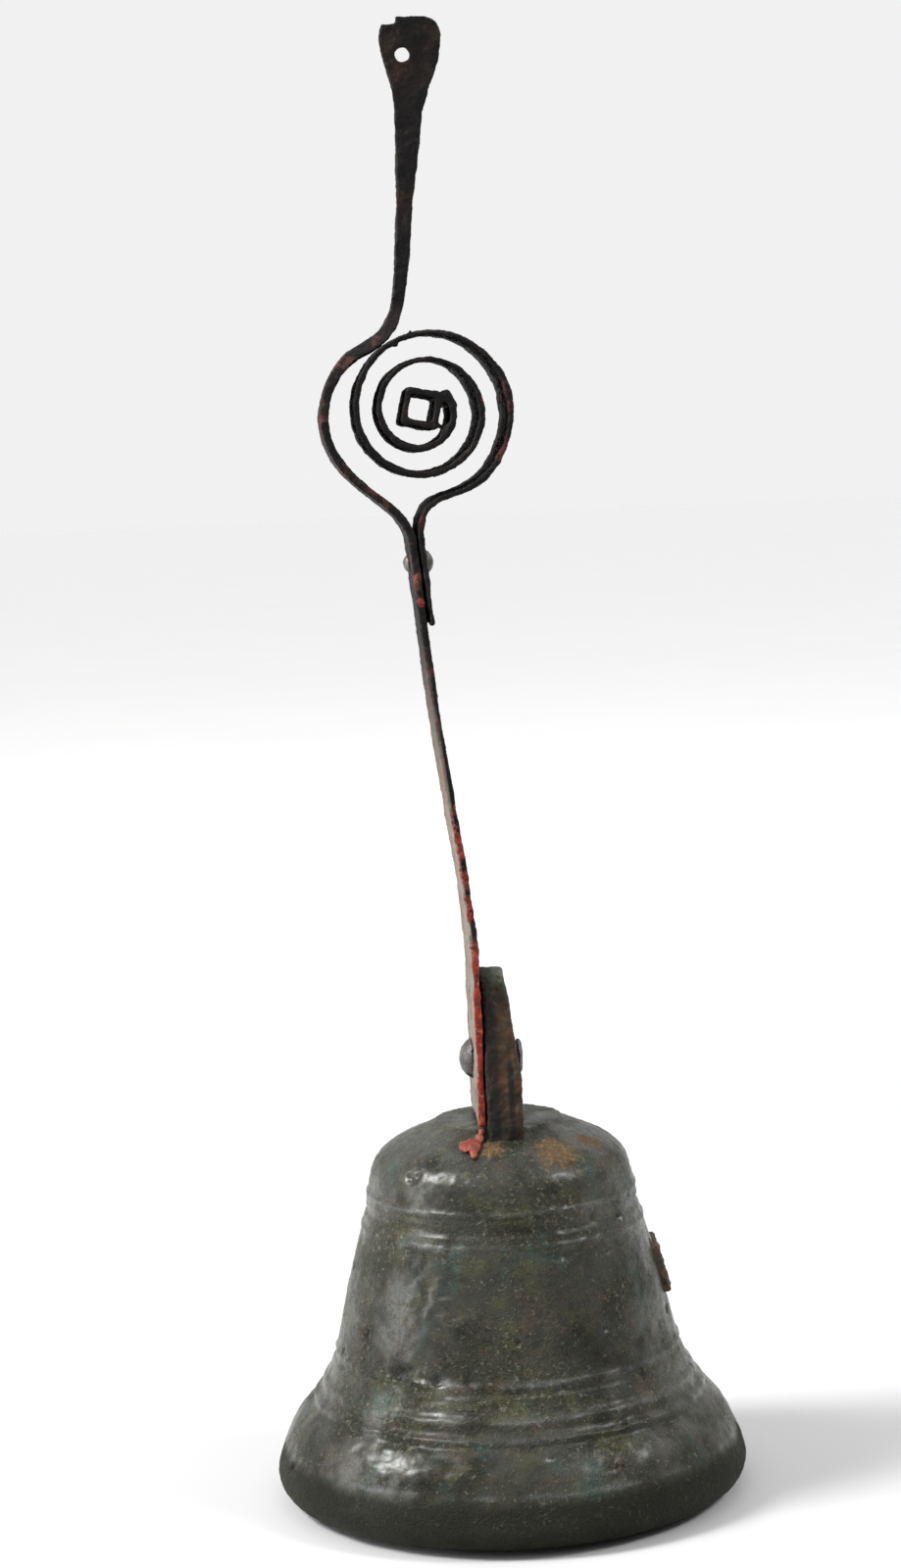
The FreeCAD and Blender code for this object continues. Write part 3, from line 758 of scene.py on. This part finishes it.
def castSkin(piece):  # blow holes and rough patches, pressed in so the bell keeps its size
    places = pitPlaces()
    pits = piece.vertex_groups.new(name="pits")
    patches = piece.vertex_groups.new(name="patches")
    depths = [0.0] * len(piece.data.vertices)
    mouthRadius, mouthHeight = casting["plainInside"]
    for vertex in piece.data.vertices:
        co = vertex.co
        radius = math.hypot(co.x, co.y)
        inMouth = radius < mouthRadius and co.z < mouthHeight
        if radius < casting["plainCrown"] or inMouth:
            continue
        depths[vertex.index] = pitDepth(co, radius, places)
        if depths[vertex.index] > 0:
            pits.add([vertex.index], depths[vertex.index], "REPLACE")
        rough = patchStrength(co)
        if rough > 0:
            patches.add([vertex.index], rough, "REPLACE")
    piece.data.attributes.new("pit", "FLOAT", "POINT").data.foreach_set("value", depths)
    roughen(piece, grain("castWaves", 0.011), casting["waveDepth"], 1.0)
    roughen(piece, grain("castSkin", 0.0028, 3), casting["skinDepth"], 1.0)
    roughen(piece, grain("castGrit", 0.0011, 2, 1.3), casting["gritDepth"], 1.0)
    roughen(piece, grain("castPatches", 0.0018, 3, 1.6), casting["patchDepth"], 0.85, "patches")
    roughen(piece, grain("castPits", 0.0011, 2, 1.2), casting["pitDepth"], 1.35, "pits")


bell = spunBell()
castSkin(bell)
shade(bell, 50)
wear(bell, finishes["bell"])
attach(bell, "hanging_bell")
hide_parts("bell")
print("bell spun:", len(bell.data.polygons), "faces")


# the lug on the crown, cut from the casting and roughened

lugSizes = {
    "above": 0.0001, "root": 0.0035, "voxel": 0.00032, "waves": 0.0006, "skin": 0.0005,
}


def crownLug():
    piece = cadCopy("bell", "crownLug")
    bpy.ops.object.mode_set(mode="EDIT")
    bpy.ops.mesh.select_all(action="SELECT")
    bpy.ops.mesh.bisect(
        plane_co=(0, 0, bellSizes["crown"] + lugSizes["above"]), plane_no=(0, 0, 1),
        use_fill=True, clear_inner=True,
    )
    root = (0, 0, -lugSizes["root"])  # the cut face goes down into the crown
    bpy.ops.mesh.extrude_region_move(TRANSFORM_OT_translate={"value": root})
    bpy.ops.object.mode_set(mode="OBJECT")
    evenSkin(piece, lugSizes["voxel"], 1)
    roughen(piece, grain("lugWaves", 0.006), lugSizes["waves"], 0.6)
    roughen(piece, grain("lugSkin", 0.0016, 3, 1.5), lugSizes["skin"], 0.6)
    return piece


lug = crownLug()
shade(lug, 60)
wear(lug, finishes["lug"])
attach(lug, "hanging_bell")
print("lug made:", len(lug.data.polygons), "faces")


# the blank pad on the right flank

padSizes = {
    "height": 0.0525, "tall": 0.0120, "wide": 0.0150, "thick": 0.0050, "face": 0.0388,
    "lean": -13.6, "bevel": 0.0009, "voxel": 0.0003, "edges": 0.0008, "skin": 0.0003,
}


def flankPad():
    bpy.ops.object.select_all(action="DESELECT")
    middle = (padSizes["face"] - padSizes["thick"] / 2, 0, padSizes["height"])
    bpy.ops.mesh.primitive_cube_add(size=1.0, location=middle)
    piece = added("flankPad")
    piece.scale = (padSizes["thick"], padSizes["wide"], padSizes["tall"])
    piece.rotation_euler = (0, math.radians(padSizes["lean"]), 0)
    settle(piece)
    bpy.ops.object.mode_set(mode="EDIT")
    bpy.ops.mesh.select_all(action="SELECT")
    bpy.ops.mesh.bevel(offset=padSizes["bevel"], segments=3, affect="EDGES")
    bpy.ops.object.mode_set(mode="OBJECT")
    evenSkin(piece, padSizes["voxel"], 2)
    roughen(piece, grain("padEdges", 0.0022, 3, 1.4), padSizes["edges"], 0.8)
    roughen(piece, grain("padSkin", 0.0009, 2), padSizes["skin"], 0.8)
    return piece


pad = flankPad()
shade(pad, 60)
wear(pad, finishes["pad"])
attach(pad, "hanging_bell")


# the forged arm, and the ribbon spring, which winds when the bell swings; here it is shown at rest

armSizes = {"voxel": 0.00042, "waves": 0.0006, "scabs": 0.00045, "grit": 0.00035}

arm = evenSkin(cadCopy("bell_arm", "forgedArm"), armSizes["voxel"], 2)
roughen(arm, grain("armWaves", 0.013), armSizes["waves"], 0.6)
roughen(arm, grain("armScabs", 0.0033, 4, 1.5), armSizes["scabs"], 0.6)
roughen(arm, grain("armGrit", 0.0008, 2), armSizes["grit"], 0.6)
shade(arm, 60)
wear(arm, finishes["arm"])
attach(arm, "hanging_bell")
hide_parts("bell_arm")
print("arm forged:", len(arm.data.polygons), "faces")

springSizes = {
    "start": 0.0071, "pitch": 0.00603, "spread": 0.00068, "sag": 0.0005, "turns": 2.17,
    "thick": 0.0017, "wide": 0.03175, "held": 600.0, "voxel": 0.00042,
    "eyeReach": 0.0061, "tailTop": -0.0285, "wornFrom": 150, "wornAngle": 75,
    "wornShare": 0.30, "rise": 0.022, "scabs": 110, "scabSize": (0.00030, 0.0008),
    "waves": 0.0005, "scale": 0.0005, "grit": 0.0003,
    "crust": (  # angle, distance from the eye's middle, size: crusts that stand off the front edge
        (-44.0, 0.0070, 0.0011), (-37.0, 0.0071, 0.0009), (-53.0, 0.0075, 0.0008), (-30.0, 0.0074, 0.0006),
        (110.0, 0.0154, 0.0008), (101.0, 0.0157, 0.0006), (96.0, 0.0182, 0.0006),
    ),
}


def coilRadius(wound):  # of the ribbon's middle, degrees wound clockwise from the right
    turn, angle = wound / 360, math.radians(-wound)
    pitch = springSizes["pitch"] + springSizes["spread"] * math.cos(angle)
    return springSizes["start"] + pitch * turn - springSizes["sag"] * math.sin(angle)


def lengthTo(wound):
    return springSizes["start"] * wound + springSizes["pitch"] * wound * wound / 720


def windingShare(co):  # 0 on the eye, 1 from where the last turn is held against the arm
    wound, reach, _ = woundAt(co)
    if reach < springSizes["eyeReach"]:
        return 0.0
    if co.z - eye.z < springSizes["tailTop"]:
        return 1.0
    return min(1.0, lengthTo(wound) / lengthTo(springSizes["held"]))


def woundAt(co):  # how far round the spiral a point lies, its distance from the eye, its angle
    x, z = co.x - eye.x, co.z - eye.z
    reach, angle = math.hypot(x, z), math.degrees(math.atan2(z, x))
    last = 360 * springSizes["turns"] + 40
    passes = [360 * turn - angle for turn in range(4) if 0 <= 360 * turn - angle <= last]
    return min(passes, key=lambda wound: abs(coilRadius(wound) - reach)), reach, angle


def wornTops(piece):  # the turns are thinner over the top, where their back edge also rides up
    for vertex in piece.data.vertices:
        co = vertex.co
        wound, reach, angle = woundAt(co)
        if reach < springSizes["eyeReach"] or co.z < eye.z or wound < springSizes["wornFrom"]:
            continue
        over = max(0.0, math.cos(math.radians(angle - springSizes["wornAngle"]))) ** 1.3
        middle = coilRadius(wound)
        turned = math.radians(angle)
        worn = middle + (reach - middle) * (1 - springSizes["wornShare"] * over)
        rise = (co.y + springSizes["wide"] / 2) * springSizes["rise"] * over
        co.x = eye.x + worn * math.cos(turned)
        co.z = eye.z + worn * math.sin(turned) + rise


def onCoil(radius, angle, y):
    return Vector((eye.x + radius * math.cos(angle), y, eye.z + radius * math.sin(angle)))


def rustScabs():  # loose scale along both faces of the ribbon
    draw = random.Random(21)
    places = []
    for _ in range(springSizes["scabs"]):
        wound = draw.uniform(10, 360 * springSizes["turns"] - 15)
        side = draw.choice((-1, 1))
        radius = coilRadius(wound) + side * springSizes["thick"] * 0.42
        angle = math.radians(-wound)
        y = draw.choice((-1, -1, 1)) * springSizes["wide"] / 2 * draw.uniform(0.3, 0.97)
        size = draw.uniform(*springSizes["scabSize"])
        turn = Matrix.Rotation(math.radians(wound), 3, "Y")
        shape = (size * 0.45, size * draw.uniform(0.8, 1.6), size)
        places.append((onCoil(radius, angle, y), shape, turn))
    for degrees, radius, size in springSizes["crust"]:
        angle = math.radians(degrees)
        place = onCoil(radius, angle, -springSizes["wide"] / 2 + size * 1.1)
        places.append((place, (size, size, size * 0.8), Matrix.Rotation(-angle, 3, "Y")))
    return blobs("rustScabs", places)


def ribbonSpring():
    piece = cadCopy("coil_spring", "ribbonSpring")
    scabs = rustScabs()
    useOnly(piece, scabs)
    bpy.ops.object.join()
    evenSkin(piece, springSizes["voxel"], 1)
    keepWhole(piece, Vector((eye.x, 0, eye.z + 0.0036)))
    wornTops(piece)
    roughen(piece, grain("springWaves", 0.010), springSizes["waves"], 0.65)
    roughen(piece, grain("springScale", 0.0026, 4, 1.6), springSizes["scale"], 0.6)
    roughen(piece, grain("springGrit", 0.0007, 2), springSizes["grit"], 0.6)
    return piece


spring = ribbonSpring()
shade(spring, 60)
wear(spring, finishes["spring"])
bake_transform(spring)
shares = [windingShare(vertex.co) for vertex in spring.data.vertices]
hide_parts("coil_spring")
print("spring wound:", len(spring.data.polygons), "faces")


# rivets, staple and clapper

ironPieces = {  # CAD node: name, voxel, hammering, grit, body
    "spring_rivet": ("springRivet", 0.00022, 0.00030, 0.00016, "hanging_bell"),
    "bell_rivet": ("bellRivet", 0.00025, 0.00045, 0.00018, "hanging_bell"),
    "clapper_staple": ("clapperStaple", 0.00030, 0.00040, 0.00020, "hanging_bell"),
    "clapper_rod": ("clapperRod", 0.00030, 0.00040, 0.00020, "clapper"),
    "clapper_ball": ("clapperBall", 0.00040, 0.00060, 0.00025, "clapper"),
}

for node, (name, voxel, hammering, grit, body) in ironPieces.items():
    piece = evenSkin(cadCopy(node, name), voxel, 5)
    roughen(piece, grain(name + "Dents", 0.0024), hammering, 0.55)
    roughen(piece, grain(name + "Grit", 0.0007, 2), grit, 0.5)
    shade(piece, 60)
    wear(piece, finishes["rivet"])
    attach(piece, body)
    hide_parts(node)
    print(name, "made:", len(piece.data.polygons), "faces")


# red lead run down off the arm onto the crown

dripSizes = {"voxel": 0.00018, "lumps": 0.00045}

paintDrips = (  # place, size, tilt down the crown
    ((-0.0049, -0.0160, 0.0906), (0.0009, 0.0011, 0.0008), -18),
    ((-0.0056, -0.0176, 0.0894), (0.0012, 0.0016, 0.0005), -23),
    ((-0.0073, -0.0190, 0.0886), (0.0023, 0.0018, 0.0006), -26),
    ((-0.0092, -0.0198, 0.0880), (0.0016, 0.0021, 0.0006), -27),
    ((-0.0070, -0.0208, 0.0880), (0.0016, 0.0020, 0.0006), -29),
    ((-0.0074, -0.0228, 0.0870), (0.0011, 0.0019, 0.0006), -31),
)


def paintRun():
    places = []
    for place, size, tilt in paintDrips:
        places.append((Vector(place), size, Matrix.Rotation(math.radians(-tilt), 3, "X")))
    piece = blobs("paintRun", places)
    evenSkin(piece, dripSizes["voxel"], 4)
    roughen(piece, grain("paintLumps", 0.0016, 3, 1.4), dripSizes["lumps"], 0.6)
    keepWhole(piece, Vector(paintDrips[2][0]))
    return piece


drips = paintRun()
shade(drips, 60)
wear(drips, finishes["paint"])
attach(drips, "hanging_bell")
print("paint run laid:", len(drips.data.polygons), "faces")


# floor, light and camera

floorLook = {
    "radius": 14.0, "sides": 96, "pale": (0.89, 0.89, 0.89), "paler": (0.92, 0.92, 0.915),
    # painted shade: the grey the floor takes near the middle, where the lamps light it most
    "litMiddleShade": (0.46, 0.46, 0.46), "greyEnds": (0.20, 1.5), "relief": 0.0001,
}


def paleFloor():
    make = Finish("paleFloor", Specular_IOR_Level=0.2)
    tone = make.noise(9, 3, 0.5)
    colour = make.mix(tone, floorLook["pale"], floorLook["paler"])
    away = make.ridge(make.span(make.place), *floorLook["greyEnds"])
    colour = make.mix(away, floorLook["litMiddleShade"], colour)  # painted shade: greyer near the middle, where the lamps light it most
    return make.finish(
        make.noise(700, 2, 0.5), floorLook["relief"], 0.2, Base_Color=colour,
        Roughness=0.62 + tone * 0.1,
    )


bpy.ops.object.select_all(action="DESELECT")
bpy.ops.mesh.primitive_circle_add(
    vertices=floorLook["sides"], radius=floorLook["radius"], fill_type="NGON",
)
floor = added("floor")
wear(floor, paleFloor())

studio = {  # place, width, height, power
    "left": ((-1.00, -0.22, 1.05), 0.34, 0.44, 32.0),
    "right": ((0.95, -0.34, 1.00), 0.26, 0.36, 11.0),
    "side": ((-1.25, -0.12, 0.30), 0.60, 0.70, 8.0),
    "aim": (0, 0, 0.12), "sun": 1.5, "sunAngle": 120, "backdrop": 0.88,
    "ambient": (0.14, 0.66), "ambientFrom": (-0.9, 0.3),  # strength in front and behind
}


def softBox(name, place, wide, tall, power):
    light = bpy.data.lights.new(name, "AREA")
    light.shape = "RECTANGLE"
    light.size, light.size_y, light.energy = wide, tall, power
    holder = linked(name, light)
    holder.location = place
    towards = Vector(studio["aim"]) - Vector(place)
    holder.rotation_euler = towards.to_track_quat("-Z", "Y").to_euler()


for name in ("left", "right", "side"):
    softBox(name + "Box", *studio[name])

skyLight = bpy.data.lights.new("ceiling", "SUN")  # even light from a white ceiling
skyLight.energy = studio["sun"]
skyLight.angle = math.radians(studio["sunAngle"])
linked("ceiling", skyLight)

def studioWorld():  # a white wall behind, a dimmer room in front, a plain backdrop to the camera
    world = bpy.data.worlds.new("studio")
    world.use_nodes = True
    tree = world.node_tree
    ambient = tree.nodes["Background"]
    ambient.inputs["Color"].default_value = (1.0, 1.0, 1.0, 1.0)
    towards = tree.nodes.new("ShaderNodeTexCoord")
    facing = tree.nodes.new("ShaderNodeSeparateXYZ")
    dimming = tree.nodes.new("ShaderNodeMapRange")
    limits = dict(zip(("From Min", "From Max"), studio["ambientFrom"]))
    limits.update(zip(("To Min", "To Max"), studio["ambient"]))
    for key, value in limits.items():
        dimming.inputs[key].default_value = value
    tree.links.new(towards.outputs["Generated"], facing.inputs[0])
    tree.links.new(facing.outputs["Y"], dimming.inputs["Value"])
    tree.links.new(dimming.outputs[0], ambient.inputs["Strength"])
    backdrop = tree.nodes.new("ShaderNodeBackground")
    backdrop.inputs["Color"].default_value = (1.0, 1.0, 1.0, 1.0)
    backdrop.inputs["Strength"].default_value = studio["backdrop"]
    seen = tree.nodes.new("ShaderNodeLightPath")
    either = tree.nodes.new("ShaderNodeMixShader")
    tree.links.new(seen.outputs["Is Camera Ray"], either.inputs[0])
    tree.links.new(ambient.outputs[0], either.inputs[1])
    tree.links.new(backdrop.outputs[0], either.inputs[2])
    tree.links.new(either.outputs[0], tree.nodes["World Output"].inputs["Surface"])
    return world


bpy.context.scene.world = studioWorld()
bpy.context.scene.view_settings.view_transform = "Standard"

view = {
    "place": (-0.04536, -0.74156, 0.24787), "bearing": 2.89, "pitch": -5.87, "roll": -2.48,
    "lens": 72.0, "clip": (0.01, 60.0),
}


def standCamera():
    bearing, pitch, roll = (math.radians(view[key]) for key in ("bearing", "pitch", "roll"))
    level = Vector((math.sin(bearing), math.cos(bearing), 0))
    ahead = level * math.cos(pitch) + Vector((0, 0, math.sin(pitch)))
    right = Vector((math.cos(bearing), -math.sin(bearing), 0))
    up = right.cross(ahead)
    across = right * math.cos(roll) + up * math.sin(roll)
    above = up * math.cos(roll) - right * math.sin(roll)
    camera = linked("camera", bpy.data.cameras.new("camera"))
    turn = Matrix((across, above, -ahead)).transposed()
    camera.matrix_world = Matrix.Translation(view["place"]) @ turn.to_4x4()
    camera.data.lens = view["lens"]
    camera.data.clip_start, camera.data.clip_end = view["clip"]
    bpy.context.scene.camera = camera


standCamera()
print("floor, light and camera set")
